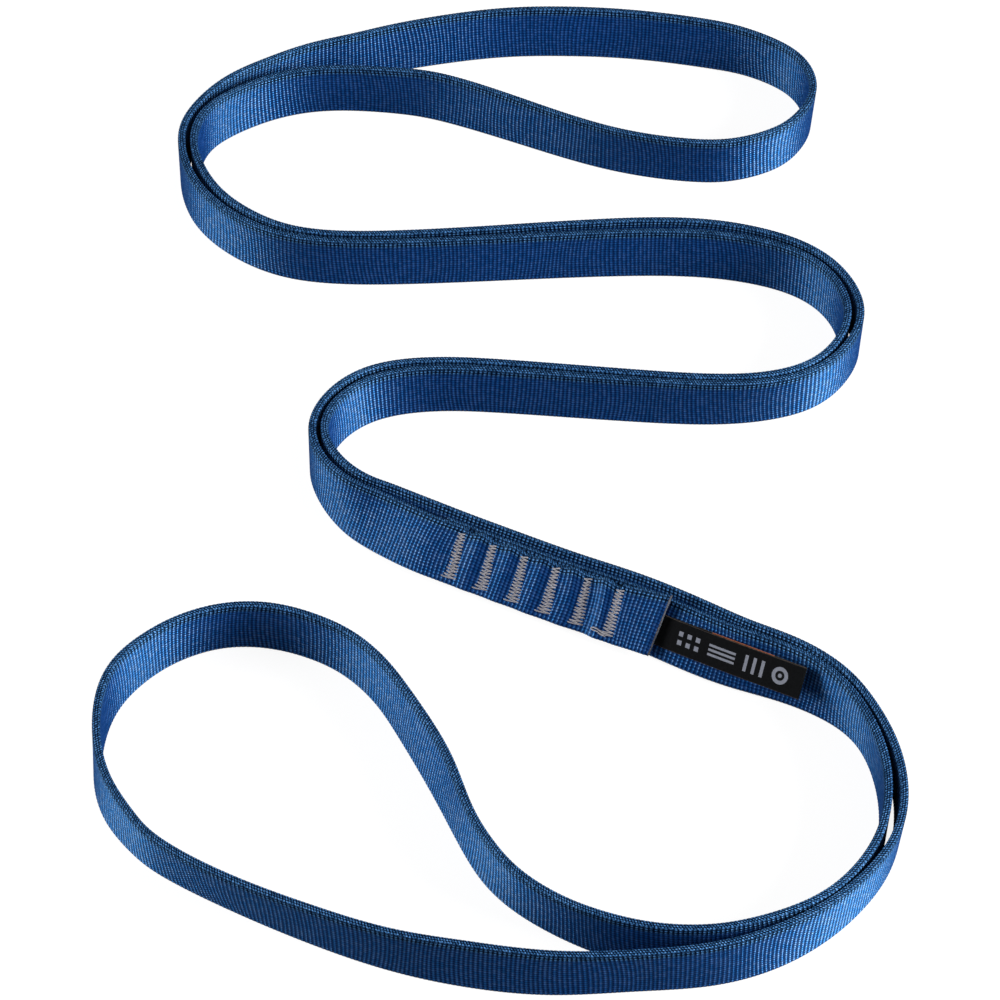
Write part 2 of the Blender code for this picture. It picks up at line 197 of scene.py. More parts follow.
def smooth_closed_curve(points):
    """Places and directions along a smooth closed curve through the points."""
    count = len(points)
    ends = np.roll(points, -1, axis=0)
    steps = np.sqrt(np.linalg.norm((ends - points)[:, :2], axis=1))
    system = np.zeros((count, count))
    sides = np.zeros_like(points)
    for i in range(count):
        before, after = (i - 1) % count, (i + 1) % count
        system[i, before] += 1 / steps[before]
        system[i, i] += 2 / steps[before] + 2 / steps[i]
        system[i, after] += 1 / steps[i]
        sides[i] += 3 * (points[i] - points[before]) / steps[before] ** 2
        sides[i] += 3 * (points[after] - points[i]) / steps[i] ** 2
    tangents = np.linalg.solve(system, sides)
    t = (np.arange(steps_per_span) / steps_per_span)[:, None]
    places, directions = [], []
    for i in range(count):
        reach = ends[i] - points[i]
        leave = steps[i] * tangents[i]
        arrive = steps[i] * tangents[(i + 1) % count]
        bend = (t**3 - 2 * t**2 + t) * leave + (t**3 - t**2) * arrive
        places.append(points[i] + (3 * t**2 - 2 * t**3) * reach + bend)
        bend = (3 * t**2 - 4 * t + 1) * leave + (3 * t**2 - 2 * t) * arrive
        directions.append(6 * (t - t**2) * reach + bend)
    return np.vstack(places), np.vstack(directions)


line_places, line_directions = smooth_closed_curve(route_rows())
line_legs = np.linalg.norm((np.roll(line_places, -1, axis=0) - line_places)[:, :2], axis=1)
line_runs = np.concatenate([[0], np.cumsum(line_legs)])
line_length = line_runs[-1]
line_places = np.vstack([line_places, line_places[:1]])
line_headings = np.arctan2(line_directions[:, 1], line_directions[:, 0])
line_headings = np.unwrap(np.append(line_headings, line_headings[0]))


def stations(run):
    """At each run: the place on the floor, and the ways ahead, up the width and out to the left."""
    inside = np.asarray(run, float) % line_length
    across, along, lean = (np.interp(inside, line_runs, row) for row in line_places.T)
    heading = np.interp(inside, line_runs, line_headings)
    lean = np.radians(lean)
    nought = np.zeros_like(heading)
    ahead = np.stack([np.cos(heading), np.sin(heading), nought], -1)
    left = np.stack([-np.sin(heading), np.cos(heading), nought], -1)
    up = np.array([0, 0, 1.0])
    rise = up * np.cos(lean)[..., None] + left * np.sin(lean)[..., None]
    out = left * np.cos(lean)[..., None] - up * np.sin(lean)[..., None]
    tilt = np.abs(lean)
    foot = np.sin(tilt) * (half_thickness - edge_rounding)
    side = np.sin(tilt) * half_thickness - np.cos(tilt) * edge_rounding
    place = np.stack([across, along, np.maximum(foot, side)], -1)
    return place, ahead, rise, out


def outline_corners():
    """The strip's four long corners, to find the middle of the laid sling."""
    place, ahead, rise, out = stations(np.linspace(0, line_length, 2000))
    corners = []
    for height in (0, webbing_width):
        for depth in (-half_thickness, half_thickness):
            corners.append(place + rise * height + out * depth)
    return np.vstack(corners)


outline = outline_corners()
line_middle = (outline.min(axis=0) + outline.max(axis=0)) / 2
line_middle[2] = 0


def on_strip(run, height, depth):
    """Points at these heights up the strip's width and these depths out to its left."""
    place, ahead, rise, out = stations(run)
    height, depth = np.asarray(height, float)[..., None], np.asarray(depth, float)[..., None]
    return place + rise * height + out * depth - line_middle


def on_strip_at(run, height, depth):
    """One such point."""
    return Vector(on_strip(np.array([run]), np.array([height]), np.array([depth]))[0])


# ---- Webbing splice --------------------------------------------------------------------------
# The strip's two ends lap over each other by about 70 mm. Six bar tacks draw the lap flat, the
# outer layer swells between them, and past the last one its heat-cut end stays free as a tab.
tab_end = 0.7239 * line_length
tab_length = 0.0140
tab_rise = 0.0008
tab_splay = 0.0012
tab_cut_slant = math.radians(4)
hidden_end_length = 0.0065
layer_step_length = 0.026
tack_count = 6
tack_pitch = 0.0100
tack_foot_width = 0.0044
label_thickness = 0.0007
label_tail_length = 0.0013
swell = 0.0003
edge_dip = 0.0009
hidden_end = tab_end - hidden_end_length - (tack_count - 1) * tack_pitch - tab_length
tack_runs = [hidden_end + hidden_end_length + n * tack_pitch for n in range(tack_count)]
label_end = tack_runs[-1] - tack_foot_width / 2 - label_tail_length


def eased(value):
    """A smooth step from 0 to 1."""
    value = np.clip(value, 0, 1)
    return value * value * (3 - 2 * value)


def layer_offset(run):
    """How far in front of the under layer's middle the outer layer's middle lies."""
    stepped = eased((run - hidden_end + seat + layer_step_length) / layer_step_length)
    lift_start = tack_runs[-2] + tack_foot_width / 2
    lifted = eased((run - lift_start) / (label_end - seat - lift_start))
    return stepped * (webbing_thickness + seat) + lifted * (label_thickness + seat)


def swell_share(run):
    """1 midway between two bar tacks, and 0 on a tack and beyond the outermost ones."""
    places = (run - tack_runs[0]) / tack_pitch
    inside = (places > 0) & (places < tack_count - 1)
    from_tack = np.abs(places - np.round(places)) * tack_pitch
    flat = tack_foot_width / 4
    return inside * eased((from_tack - flat) / (tack_pitch / 2 - flat))


def tab_share(run):
    """0 up to the last bar tack, then evenly up to 1 at the tab's cut end."""
    start = tack_runs[-1] + tack_foot_width / 2
    return np.maximum(0, (run - start) / (tab_end - start))


# ---- Webbing ---------------------------------------------------------------------------------
# Flat-woven nylon in dark blue. Fine ribs run across it about 1.2 mm apart, each one a column of
# small satin floats with painted shade between them, and along the woven edges rows of beads with
# painted highlights on their tops stand over a nearly black ground of painted shade.
rib_pitch = 0.00124
rib_depth = 0.00009
rib_bow = 0.0005
rib_skew = 0.0010
splice_skew = 0.0019
splice_skew_length = 0.055
straight_end_ribs = 6
corner_radius = 0.00055
corner_turns = (0, 30, 60, 90)
selvedge_from = 0.88
float_pitch = 0.00096
edge_row_pitch = 0.00092
loop_row_pitch = 0.0007
fused_depth = 0.0002
fused_shoulder = 0.4
fused_lump = 0.0001
fused_press = 0.0004
fused_press_length = 0.0015
float_relief = 0.00035
# The groove colour is painted shade in the grooves between the ribs and between the floats.
painted_groove_shade_blue = (0.0001, 0.007, 0.050)
float_blue = (0.002, 0.076, 0.38)
# On the edges the near-black ground is painted shade between the beads, and the pale bead colour is
# a painted highlight on their tops.
painted_ground_shade_blue = (0.0001, 0.002, 0.014)
bead_highlight_blue = (0.10, 0.34, 0.82)
sheen_blue = (0.10, 0.44, 1)
sheen_pale = (0.34, 0.65, 1)
singed_dark = (0.004, 0.006, 0.014)
singed_pale = (0.50, 0.43, 0.38)
wear_scale = 60
crust_scale = 2600
webbing_lengths = 12
rib_phase_shares = (0, 0.28, 0.5, 0.72)
rib_height_shares = (1, 0.8, 0, 0.8)
face_height_shares = (0.06, 0.10, 0.25, 0.42, 0.58, 0.75, 0.86, 0.90)
edge_depth_shares = (0.36, 0.5, 0.64)
# The waves in which the ribs bow and lean along the strip: share, run per radian, and start.
rib_bow_waves = ((1, 0.0132, 1.3), (0.6, 0.0049, 0))
rib_skew_waves = ((1, 0.0187, 0), (0.5, 0.0061, 2))
# The bake map holds the strip in two rows, with the end caps beside them.
bake_margin = 0.004
bake_row = 0.5
bake_row_length = 0.94
bake_row_width = 0.492
bake_cap_start = 0.965
bake_cap_margin = 0.02
bake_cap_thickness = 0.03
bake_cap_length = 0.4
sharp_edge = math.radians(50)
strip_length = line_length + tab_end - hidden_end
ribs_each = 2 * round(strip_length / rib_pitch / webbing_lengths / 2)
rib_count = webbing_lengths * ribs_each


def section_outline():
    """Round the strip: shares of depth and height, insets, the way out, and the selvedge's part.

    The selvedge's part is 0 on the faces, 1 on their top rows and 2 on the strip's top edge."""
    rows = []
    turns = [(math.radians(degrees), 1 + degrees / 90) for degrees in corner_turns]
    for side, level in ((0, 1), (1, 0)):
        out, rise = (-1, 1) if side == 0 else (1, -1)
        shares = face_height_shares if side == 0 else face_height_shares[::-1]
        for share in shares:
            rows.append((side, 0, share, 0, out, 0, share > selvedge_from))
        for turn, part in turns:
            way = (out * math.cos(turn), rise * math.sin(turn))
            rows.append((side, -out * corner_radius * (1 - math.cos(turn)), level,
                         -rise * corner_radius * (1 - math.sin(turn)), *way,
                         part if level else part - 1))
        for share in edge_depth_shares if side == 0 else edge_depth_shares[::-1]:
            rows.append((share, 0, level, 0, 0, rise, 1 + level))
        for turn, part in turns[::-1]:
            way = (-out * math.cos(turn), rise * math.sin(turn))
            rows.append((1 - side, out * corner_radius * (1 - math.cos(turn)), level,
                         -rise * corner_radius * (1 - math.sin(turn)), *way,
                         part if level else part - 1))
    return np.array(rows, float)


outline_rows = section_outline()
top_middle = int(np.argmax((outline_rows[:, 0] == 0.5) & (outline_rows[:, 2] == 1)))


def section_places(front, back, top):
    """Depths and heights of the outline's points for each ring."""
    side, inset_depth, level, inset_height = outline_rows[:, :4].T
    depths = front[:, None] + (back - front)[:, None] * side + inset_depth
    heights = top[:, None] * level + inset_height
    return depths, heights


flat_depths, flat_heights = section_places(
    np.array([-half_thickness]), np.array([half_thickness]), np.array([webbing_width]))
around_steps = np.hypot(np.diff(np.append(flat_depths, flat_depths[0, 0])),
                        np.diff(np.append(flat_heights, flat_heights[0, 0])))
around_runs = np.concatenate([[0], np.cumsum(around_steps)])


def drifted(run, waves):
    """How far the ribs have drifted at this run, as a share of their most."""
    return sum(share * np.sin(run / length + start) for share, length, start in waves)


def strip_rings(ribs, sunk_shares):
    """Rings of the strip at these ribs, each sunk by a share of the rib's depth."""
    run = hidden_end + ribs / rib_count * strip_length
    lap = run - line_length
    lapped = lap > hidden_end - layer_step_length - seat
    offset = np.where(lapped, layer_offset(lap), 0)
    swollen = np.where(lapped, swell_share(lap), 0)
    sewn = lapped & (lap >= tack_runs[0]) & (lap <= tack_runs[-1])
    free = np.where(lapped, tab_share(lap), 0)
    top = webbing_width - edge_dip * (1 - swollen) * sewn
    to_end = np.minimum(run - hidden_end, hidden_end + strip_length - run)
    pressed = fused_press * np.clip(1 - to_end / fused_press_length, 0, 1) ** 2
    depths, heights = section_places(-half_thickness - offset - swollen * swell + pressed,
                                     half_thickness - offset - pressed, top)
    sunk = rib_depth * sunk_shares[:, None]
    depths = depths - outline_rows[:, 4] * sunk
    heights = heights - outline_rows[:, 5] * sunk
    level = heights / webbing_width
    bow = rib_bow * drifted(run, rib_bow_waves)
    skew = rib_skew * drifted(run, rib_skew_waves)
    from_splice = (run - tack_runs[2] + line_length / 2) % line_length - line_length / 2
    skew = skew + splice_skew * np.exp(-(from_splice / splice_skew_length) ** 2)
    ends = np.clip(np.minimum(ribs, rib_count - ribs) / straight_end_ribs, 0, 1)
    shift = (bow * ends)[:, None] * (1 - (2 * level - 1) ** 2)
    shift = shift + (skew * ends)[:, None] * (level - 0.5)
    shift = shift - free[:, None] * (top[:, None] - heights) * math.tan(tab_cut_slant)
    heights = heights + free[:, None] * (tab_rise + tab_splay * level)
    place, ahead, rise, out = stations(run)
    rings = (place - line_middle)[:, None] + rise[:, None] * heights[..., None]
    return rings + out[:, None] * depths[..., None] + ahead[:, None] * shift[..., None]


def fused_ring(ribs, inward, lumps):
    """A ring of the melted cut end: the outline with small lumps, drawn in by a length."""
    ring = strip_rings(np.array([ribs]), np.zeros(1))[0]
    place, ahead, rise, out = (row[0] for row in stations(
        hidden_end + np.array([ribs]) / rib_count * strip_length))
    lump = np.array([lumps.uniform(-1, 1) for _ in ring])[:, None] * fused_lump
    ways = out * outline_rows[:, 4:5] + rise * outline_rows[:, 5:6]
    return ring + ways * (lump - inward) + ahead * np.roll(lump, 3, axis=0)


def with_fused_ends(ribs, rings, number):
    """The ribs and rings with the melted crust at the strip's cut ends, and which are melted."""
    melted = np.zeros(len(ribs))
    lumps = random.Random(number)
    ribs_per_metre = rib_count / strip_length
    for at_end, way in ((number == 0, -1), (number == webbing_lengths - 1, 1)):
        if at_end:
            reach = fused_depth * ribs_per_metre * way
            end = ribs[0] if way < 0 else ribs[-1]
            places = [end + reach * fused_shoulder, end + reach]
            added = [fused_ring(place, inward, lumps)
                     for place, inward in zip(places, (-fused_lump, 2 * fused_lump))]
            if way < 0:
                ribs = np.concatenate([places[::-1], ribs])
                rings = np.concatenate([added[::-1], rings])
                melted = np.concatenate([[1, 1], melted])
            else:
                ribs = np.concatenate([ribs, places])
                rings = np.concatenate([rings, added])
                melted = np.concatenate([melted, [1, 1]])
    return ribs, rings, melted


def strip_mesh(name, number):
    """One closed length of the strip, with a weave map in ribs and floats and a bake map."""
    first, last = number * ribs_each, (number + 1) * ribs_each
    ribs = np.append((np.arange(first, last)[:, None] + rib_phase_shares).ravel(), last)
    sunk = 1 - np.append(np.tile(rib_height_shares, last - first), rib_height_shares[0])
    ribs, rings, melted = with_fused_ends(ribs, strip_rings(ribs.astype(float), sunk), number)
    count, around = rings.shape[:2]
    i, j = np.meshgrid(np.arange(count - 1), np.arange(around), indexing="ij")
    k = (j + 1) % around
    quads = np.stack([i * around + j, i * around + k, (i + 1) * around + k,
                      (i + 1) * around + j], -1).reshape(-1, 4)
    rungs = [((top_middle - m) % around, (top_middle + m) % around)
             for m in range(around // 2 + 1)]
    near = [list(dict.fromkeys((a, c, d, b))) for (a, b), (c, d) in zip(rungs, rungs[1:])]
    far = [face[::-1] for face in near]
    faces = quads.tolist() + near + [[(count - 1) * around + v for v in face] for face in far]
    mesh = bpy.data.meshes.new(name)
    mesh.from_pydata(rings.reshape(-1, 3), [], faces)

    weave = mesh.uv_layers.new(name="weave")
    bake = mesh.uv_layers.new(name="OFBake")
    low, high = around_runs[j], around_runs[j + 1]
    start, end = ribs[i], ribs[i + 1]
    woven = np.stack([np.stack([start, low], -1), np.stack([start, high], -1),
                      np.stack([end, high], -1), np.stack([end, low], -1)], 2)
    laid = woven.copy()
    woven[..., 1] /= float_pitch
    row = (i >= (count - 1) // 2).astype(float)[..., None]
    split = ribs[(count - 1) // 2]
    row_start = np.where(row > 0, split, ribs[0])
    row_end = np.where(row > 0, ribs[-1], split)
    row_share = (laid[..., 0] - row_start) / (row_end - row_start)
    laid[..., 0] = bake_margin + row_share * bake_row_length
    laid[..., 1] = row * bake_row + bake_margin + laid[..., 1] / around_runs[-1] * bake_row_width
    caps = []
    for level, cap in ((bake_cap_margin, near), (bake_row + bake_cap_margin, far)):
        for v in (v for face in cap for v in face):
            depth_share = flat_depths[0, v] / webbing_thickness + 0.5
            caps += [bake_cap_start + depth_share * bake_cap_thickness,
                     level + flat_heights[0, v] / webbing_width * bake_cap_length]
    weave.uv.foreach_set("vector", np.concatenate(
        [woven.ravel(), np.zeros(len(caps))]).astype(np.float32))
    bake.uv.foreach_set("vector", np.concatenate([laid.ravel(), caps]).astype(np.float32))
    for title, values in (("selvedge", np.tile(outline_rows[:, 6], count)),
                          ("melted", np.repeat(melted, around))):
        attribute = mesh.attributes.new(title, "FLOAT", "POINT")
        attribute.data.foreach_set("value", values.astype(np.float32))
    mesh.polygons.foreach_set("use_smooth", [True] * len(faces))
    mesh.set_sharp_from_angle(angle=sharp_edge)
    mesh.update()
    return mesh


def math_node(tree, operation, *values):
    """A math node whose inputs are numbers or other nodes' outputs."""
    node = tree.nodes.new("ShaderNodeMath")
    node.operation = operation
    for socket, value in zip(node.inputs, values):
        if isinstance(value, (int, float)):
            socket.default_value = value
        else:
            tree.links.new(value, socket)
    return node.outputs[0]


def mixed_colour(tree, share, low, high):
    """A blend from one colour to another, each three numbers or another node's output."""
    node = tree.nodes.new("ShaderNodeMix")
    node.data_type = "RGBA"
    for socket, value in ((node.inputs[0], share), (node.inputs[6], low), (node.inputs[7], high)):
        if isinstance(value, tuple):
            socket.default_value = (*value, 1)
        elif isinstance(value, (int, float)):
            socket.default_value = value
        else:
            tree.links.new(value, socket)
    return node.outputs[2]


def blended(tree, share, low, high):
    """low where the share is 0 and high where it is 1."""
    return math_node(tree, "ADD", math_node(tree, "MULTIPLY", low,
                                            math_node(tree, "SUBTRACT", 1, share)),
                     math_node(tree, "MULTIPLY", high, share))


def humped(tree, value, sharpness):
    """A hump over each whole step of the value, narrower the higher the sharpness."""
    wave = math_node(tree, "SINE", math_node(tree, "MULTIPLY", math_node(tree, "FRACT", value),
                                             math.pi))
    return math_node(tree, "POWER", wave, sharpness)


def new_finish(name, roughness):
    """A material, its node tree and its shader."""
    material = bpy.data.materials.new(name)
    material.use_nodes = True
    shader = material.node_tree.nodes["Principled BSDF"]
    shader.inputs["Roughness"].default_value = roughness
    return material, material.node_tree, shader


def roughened(tree, shader, height, distance, strength):
    """Bump from a height between 0 and 1 that stands for this distance."""
    bump = tree.nodes.new("ShaderNodeBump")
    bump.inputs["Strength"].default_value = strength
    bump.inputs["Distance"].default_value = distance
    tree.links.new(height, bump.inputs["Height"])
    tree.links.new(bump.outputs[0], shader.inputs["Normal"])


def map_axes(tree, name):
    """The two axes of one of the piece's own maps."""
    own_map = tree.nodes.new("ShaderNodeUVMap")
    own_map.uv_map = name
    split = tree.nodes.new("ShaderNodeSeparateXYZ")
    tree.links.new(own_map.outputs[0], split.inputs[0])
    return split.outputs[0], split.outputs[1]


def attribute_value(tree, name):
    """One of the piece's own attributes."""
    node = tree.nodes.new("ShaderNodeAttribute")
    node.attribute_name = name
    return node.outputs["Fac"]


def random_value(tree, dimensions, socket, source):
    """A random number between 0 and 1 for each value of the source."""
    node = tree.nodes.new("ShaderNodeTexWhiteNoise")
    node.noise_dimensions = dimensions
    tree.links.new(source, node.inputs[socket])
    return node.outputs[0]


def noise_over_piece(tree, scale):
    """Soft noise that is fixed to the piece, around a half."""
    coordinates = tree.nodes.new("ShaderNodeTexCoord")
    node = tree.nodes.new("ShaderNodeTexNoise")
    node.inputs["Scale"].default_value = scale
    tree.links.new(coordinates.outputs["Object"], node.inputs["Vector"])
    return node.outputs[0]


def webbing_finish():
    """Dyed nylon: satin floats over each rib, painted shade between them, and beaded woven edges.
    """
    material, tree, shader = new_finish("dyed_nylon_webbing", 0.6)
    along, around = map_axes(tree, "weave")
    part, fused = attribute_value(tree, "selvedge"), attribute_value(tree, "melted")
    on_edge = math_node(tree, "MINIMUM", part, 1)
    on_top = math_node(tree, "MAXIMUM", math_node(tree, "SUBTRACT", part, 1), 0)

    ribs = math_node(tree, "ADD", along, 0.5)
    rib_number = math_node(tree, "FLOOR", ribs)
    stagger = random_value(tree, "1D", "W", rib_number)
    yarn = humped(tree, math_node(tree, "MULTIPLY_ADD", stagger, 0.3, around), 2)
    face_height = blended(tree, humped(tree, ribs, 3),
                          math_node(tree, "MULTIPLY", yarn, 0.2),
                          math_node(tree, "MULTIPLY_ADD", yarn, 0.62, 0.38))
    rows = math_node(tree, "MULTIPLY", around, float_pitch / edge_row_pitch)
    beads = math_node(tree, "MULTIPLY", humped(tree, ribs, 3), humped(tree, rows, 2.5))
    loop_rows = math_node(tree, "MULTIPLY", around, float_pitch / loop_row_pitch)
    looped = math_node(tree, "MULTIPLY_ADD", loop_rows, 0.5, math_node(tree, "MULTIPLY", ribs, 1.5))
    loops = math_node(tree, "MULTIPLY", math_node(tree, "MULTIPLY", humped(tree, looped, 3), 0.75),
                      humped(tree, loop_rows, 2))
    edge_height = blended(tree, on_top, beads, loops)

    cell = tree.nodes.new("ShaderNodeCombineXYZ")
    tree.links.new(blended(tree, on_edge, rib_number, math_node(tree, "FLOOR", looped)),
                   cell.inputs[0])
    tree.links.new(blended(tree, on_edge, math_node(tree, "FLOOR", around),
                           math_node(tree, "FLOOR", loop_rows)),
                   cell.inputs[1])
    chance = random_value(tree, "2D", "Vector", cell.outputs[0])
    worn = math_node(tree, "MULTIPLY_ADD", noise_over_piece(tree, wear_scale), 0.5, 0.75)
    face_shade = math_node(tree, "MULTIPLY", math_node(tree, "MULTIPLY", face_height, worn),
                           math_node(tree, "MULTIPLY_ADD", chance, 0.6, 0.7))
    edge_shade = math_node(tree, "MULTIPLY", edge_height,
                           math_node(tree, "MULTIPLY_ADD", chance, 1.3, 0.3))
    # The face darkens with the weave's height, which is painted shade between ribs and floats; its
    # tone also varies at random.
    face_colour = mixed_colour(tree, face_shade, painted_groove_shade_blue, float_blue)
    # The edge beads get painted highlights on their tops over painted shade between them.
    edge_colour = mixed_colour(tree, edge_shade, painted_ground_shade_blue, bead_highlight_blue)
    woven = mixed_colour(tree, on_edge, face_colour, edge_colour)
    crust = math_node(tree, "POWER", noise_over_piece(tree, crust_scale), 3)
    singed = mixed_colour(tree, crust, singed_dark, singed_pale)
    tree.links.new(mixed_colour(tree, fused, woven, singed), shader.inputs["Base Color"])

    woven_height = blended(tree, on_edge, face_height, edge_height)
    roughened(tree, shader, woven_height, float_relief, 0.6)
    tree.links.new(blended(tree, woven_height, 0.9, 0.45), shader.inputs["Roughness"])
    tangent = tree.nodes.new("ShaderNodeTangent")
    tangent.direction_type = "UV_MAP"
    tangent.uv_map = "weave"
    tree.links.new(tangent.outputs[0], shader.inputs["Tangent"])
    shader.inputs["Anisotropic"].default_value = 1
    shader.inputs["Anisotropic Rotation"].default_value = 0.25
    shader.inputs["IOR"].default_value = 3.2
    tree.links.new(blended(tree, fused, blended(tree, woven_height, 0.03, 1), 0.05),
                   shader.inputs["Specular IOR Level"])
    tree.links.new(mixed_colour(tree, math_node(tree, "POWER", chance, 1.5), sheen_blue,
                                sheen_pale), shader.inputs["Specular Tint"])
    return material


def new_piece(mesh, finish):
    """A piece named as its mesh, with its finish."""
    piece = bpy.data.objects.new(mesh.name, mesh)
    bpy.context.scene.collection.objects.link(piece)
    piece.data.materials.append(finish)
    return piece


nylon = webbing_finish()
for number in range(webbing_lengths):
    piece = new_piece(strip_mesh(f"webbing_length_{number + 1}", number), nylon)
    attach(piece, "sling")
    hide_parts("webbing")


# ---- Bar tacks -------------------------------------------------------------------------------
# Six columns of zigzag stitches in light-grey satin thread, wider at the foot than at the head.
# Each is one thread that is drawn tight through both layers, with the same zigzag behind them.
thread_diameter = 0.00042
thread_sides = 8
tack_margin = 0.0016
stitches_rise = 0.0005
tack_head_width = 0.0021
tack_taper = 0.8
tack_spread_left = 1.1
tack_spread_right = 0.5
tack_stitches = 29
stitch_reach = 0.00035
stitch_crown = 0.00016
stitch_standing = 0.42
stitch_dive = 0.4
stitch_unevenness = 0.00014
foot_stitch_reach = 0.0011
foot_stitch_shares = {0: 1, 2: 0.5}
stitch_run_shares = (0, 0.06, 0.16, 0.34, 0.5, 0.66, 0.84, 0.94)
first_tack_seed = 40
rings_begin = (0.3, 0.5, 0.81)
thread_shadow_grey = (0.035, 0.033, 0.037)
thread_light_grey = (0.52, 0.50, 0.54)
thread_turns = 1.1
thread_plies = 3
thread_fuzz_scale = 900
ply_relief = 0.00006
millimetre = 0.001


def stitch_points(number, face, chance):
    """Run, height and depth along the zigzag of one face, from its foot up to its head."""
    middle = tack_runs[number]
    outward = -1 if face == "front" else 1
    base = -half_thickness - float(layer_offset(middle)) if outward < 0 else half_thickness
    ends = []
    sewn_width = webbing_width - 2 * tack_margin - edge_dip / 2
    for stitch in range(tack_stitches + 1):
        share = stitch / tack_stitches
        height = tack_margin + stitches_rise + share * sewn_width
        widening = (tack_foot_width - tack_head_width) * (1 - share) ** tack_taper
        left = (tack_head_width + widening * tack_spread_left) / 2
        right = (tack_head_width + widening * tack_spread_right) / 2
        side = -left if stitch % 2 == 0 else right
        if face == "front":
            side -= foot_stitch_reach * foot_stitch_shares.get(stitch, 0)
        side += chance.uniform(-1, 1) * stitch_unevenness
        ends.append((middle + side, height + chance.uniform(-1, 1) * stitch_unevenness))
    points = []
    for (run, height), (next_run, next_height) in zip(ends, ends[1:]):
        for share in stitch_run_shares:
            arch = math.sin(math.pi * share) ** stitch_dive if share else 0
            standing = thread_diameter * stitch_standing * arch - stitch_reach * (1 - arch)
            depth = base + outward * (standing + stitch_crown * math.sin(math.pi * share))
            points.append((run + (next_run - run) * share,
                           height + (next_height - height) * eased(share), depth))
    points.append((*ends[-1], base - outward * stitch_reach))
    return points


def swept_thread(places, closed):
    """Rings of the thread's diameter round a line of places."""
    places = np.array(places)
    if closed:
        ahead = np.roll(places, -1, axis=0) - np.roll(places, 1, axis=0)
    else:
        ahead = np.gradient(places, axis=0)
    ahead /= np.linalg.norm(ahead, axis=1, keepdims=True)
    side = np.zeros_like(places)
    last = np.cross(ahead[0], rings_begin)
    for n, way in enumerate(ahead):
        last = last - way * (last @ way)
        last /= np.linalg.norm(last)
        side[n] = last
    other = np.cross(ahead, side)
    angles = np.arange(thread_sides) / thread_sides * math.tau
    return (places[:, None] + (side[:, None] * np.cos(angles)[:, None]
                               + other[:, None] * np.sin(angles)[:, None]) * thread_diameter / 2)


def face_outward(mesh):
    """Turns the faces of a closed mesh outward."""
    shell = bmesh.new()
    shell.from_mesh(mesh)
    bmesh.ops.recalc_face_normals(shell, faces=shell.faces)
    shell.to_mesh(mesh)
    shell.free()


def thread_mesh(name, places, closed):
    """The thread as a closed tube, with a map in millimetres along it and turns round it."""
    rings = swept_thread(places, closed)
    count = len(rings)
    legs = np.linalg.norm(np.diff(np.vstack([places, places[:1]]), axis=0), axis=1)
    runs = np.concatenate([[0], np.cumsum(legs)]) / millimetre
    faces, uvs = [], []
    for i in range(count if closed else count - 1):
        for j in range(thread_sides):
            k, after = (j + 1) % thread_sides, (i + 1) % count
            faces.append((i * thread_sides + j, i * thread_sides + k,
                          after * thread_sides + k, after * thread_sides + j))
            low, high = j / thread_sides, (j + 1) / thread_sides
            uvs += [(runs[i], low), (runs[i], high), (runs[i + 1], high), (runs[i + 1], low)]
    if not closed:
        faces.append(tuple(range(thread_sides))[::-1])
        faces.append(tuple((count - 1) * thread_sides + j for j in range(thread_sides)))
        uvs += [(0, 0)] * thread_sides * 2
    mesh = bpy.data.meshes.new(name)
    mesh.from_pydata(rings.reshape(-1, 3), [], faces)
    thread_map = mesh.uv_layers.new(name="thread")
    thread_map.uv.foreach_set("vector", np.array(uvs, np.float32).ravel())
    mesh.polygons.foreach_set("use_smooth", [True] * len(faces))
    mesh.update()
    face_outward(mesh)
    return mesh


def thread_finish():
    """Light-grey twisted thread: pale satin plies with a warm grey shadow between them."""
    material, tree, shader = new_finish("light_grey_thread", 0.55)
    along, around = map_axes(tree, "thread")
    twist = math_node(tree, "MULTIPLY_ADD", along, thread_turns,
                      math_node(tree, "MULTIPLY", around, thread_plies))
    ply = humped(tree, twist, 0.8)
    shade = math_node(tree, "MULTIPLY", ply, math_node(
        tree, "MULTIPLY_ADD", noise_over_piece(tree, thread_fuzz_scale), 0.9, 0.5))
    tree.links.new(mixed_colour(tree, shade, thread_shadow_grey, thread_light_grey),
                   shader.inputs["Base Color"])
    roughened(tree, shader, ply, ply_relief, 0.7)
    shader.inputs["Sheen Weight"].default_value = 0.15
    shader.inputs["Specular IOR Level"].default_value = 0.4
    return material


thread_grey = thread_finish()
for number in range(tack_count):
    chance = random.Random(first_tack_seed + number)
    points = stitch_points(number, "front", chance)
    points += stitch_points(number, "back", chance)[::-1]
    places = on_strip(*np.array(points).T)
    piece = new_piece(thread_mesh(f"tack_stitches_{number + 1}", places, True), thread_grey)
    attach(piece, "sling")
    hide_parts(f"bar_tack_{number + 1}")


# ---- Thread tail -----------------------------------------------------------------------------
# At the foot of the last bar tack the thread's two sewn-off ends loop out to the left and lie
# pressed against the webbing. Each bend is given along the strip from the tack, up from the
# strip's lower edge, and out from its face.
tail_bends = ((-0.0005, 0.0024, -0.0002), (-0.0018, 0.0027, 0.0003), (-0.0030, 0.0031, 0.0003),
              (-0.0042, 0.0034, 0.0003), (-0.0052, 0.0033, 0.0003), (-0.0054, 0.0028, 0.0003),
              (-0.0046, 0.0026, 0.0003), (-0.0035, 0.0026, 0.0004), (-0.0022, 0.0021, 0.0004),
              (-0.0008, 0.0018, -0.0001))
steps_per_bend = 5


def rounded_line(bends, steps):
    """Places along a smooth open line through the bends."""
    bends = np.array(bends)
    padded = np.vstack([2 * bends[0] - bends[1], bends, 2 * bends[-1] - bends[-2]])
    places = []
    for before, start, end, after in zip(padded, padded[1:], padded[2:], padded[3:]):
        for t in np.arange(steps) / steps:
            places.append(0.5 * (2 * start + (end - before) * t
                                 + (2 * before - 5 * start + 4 * end - after) * t**2
                                 + (3 * start - before - 3 * end + after) * t**3))
    return np.array(places + [bends[-1]])


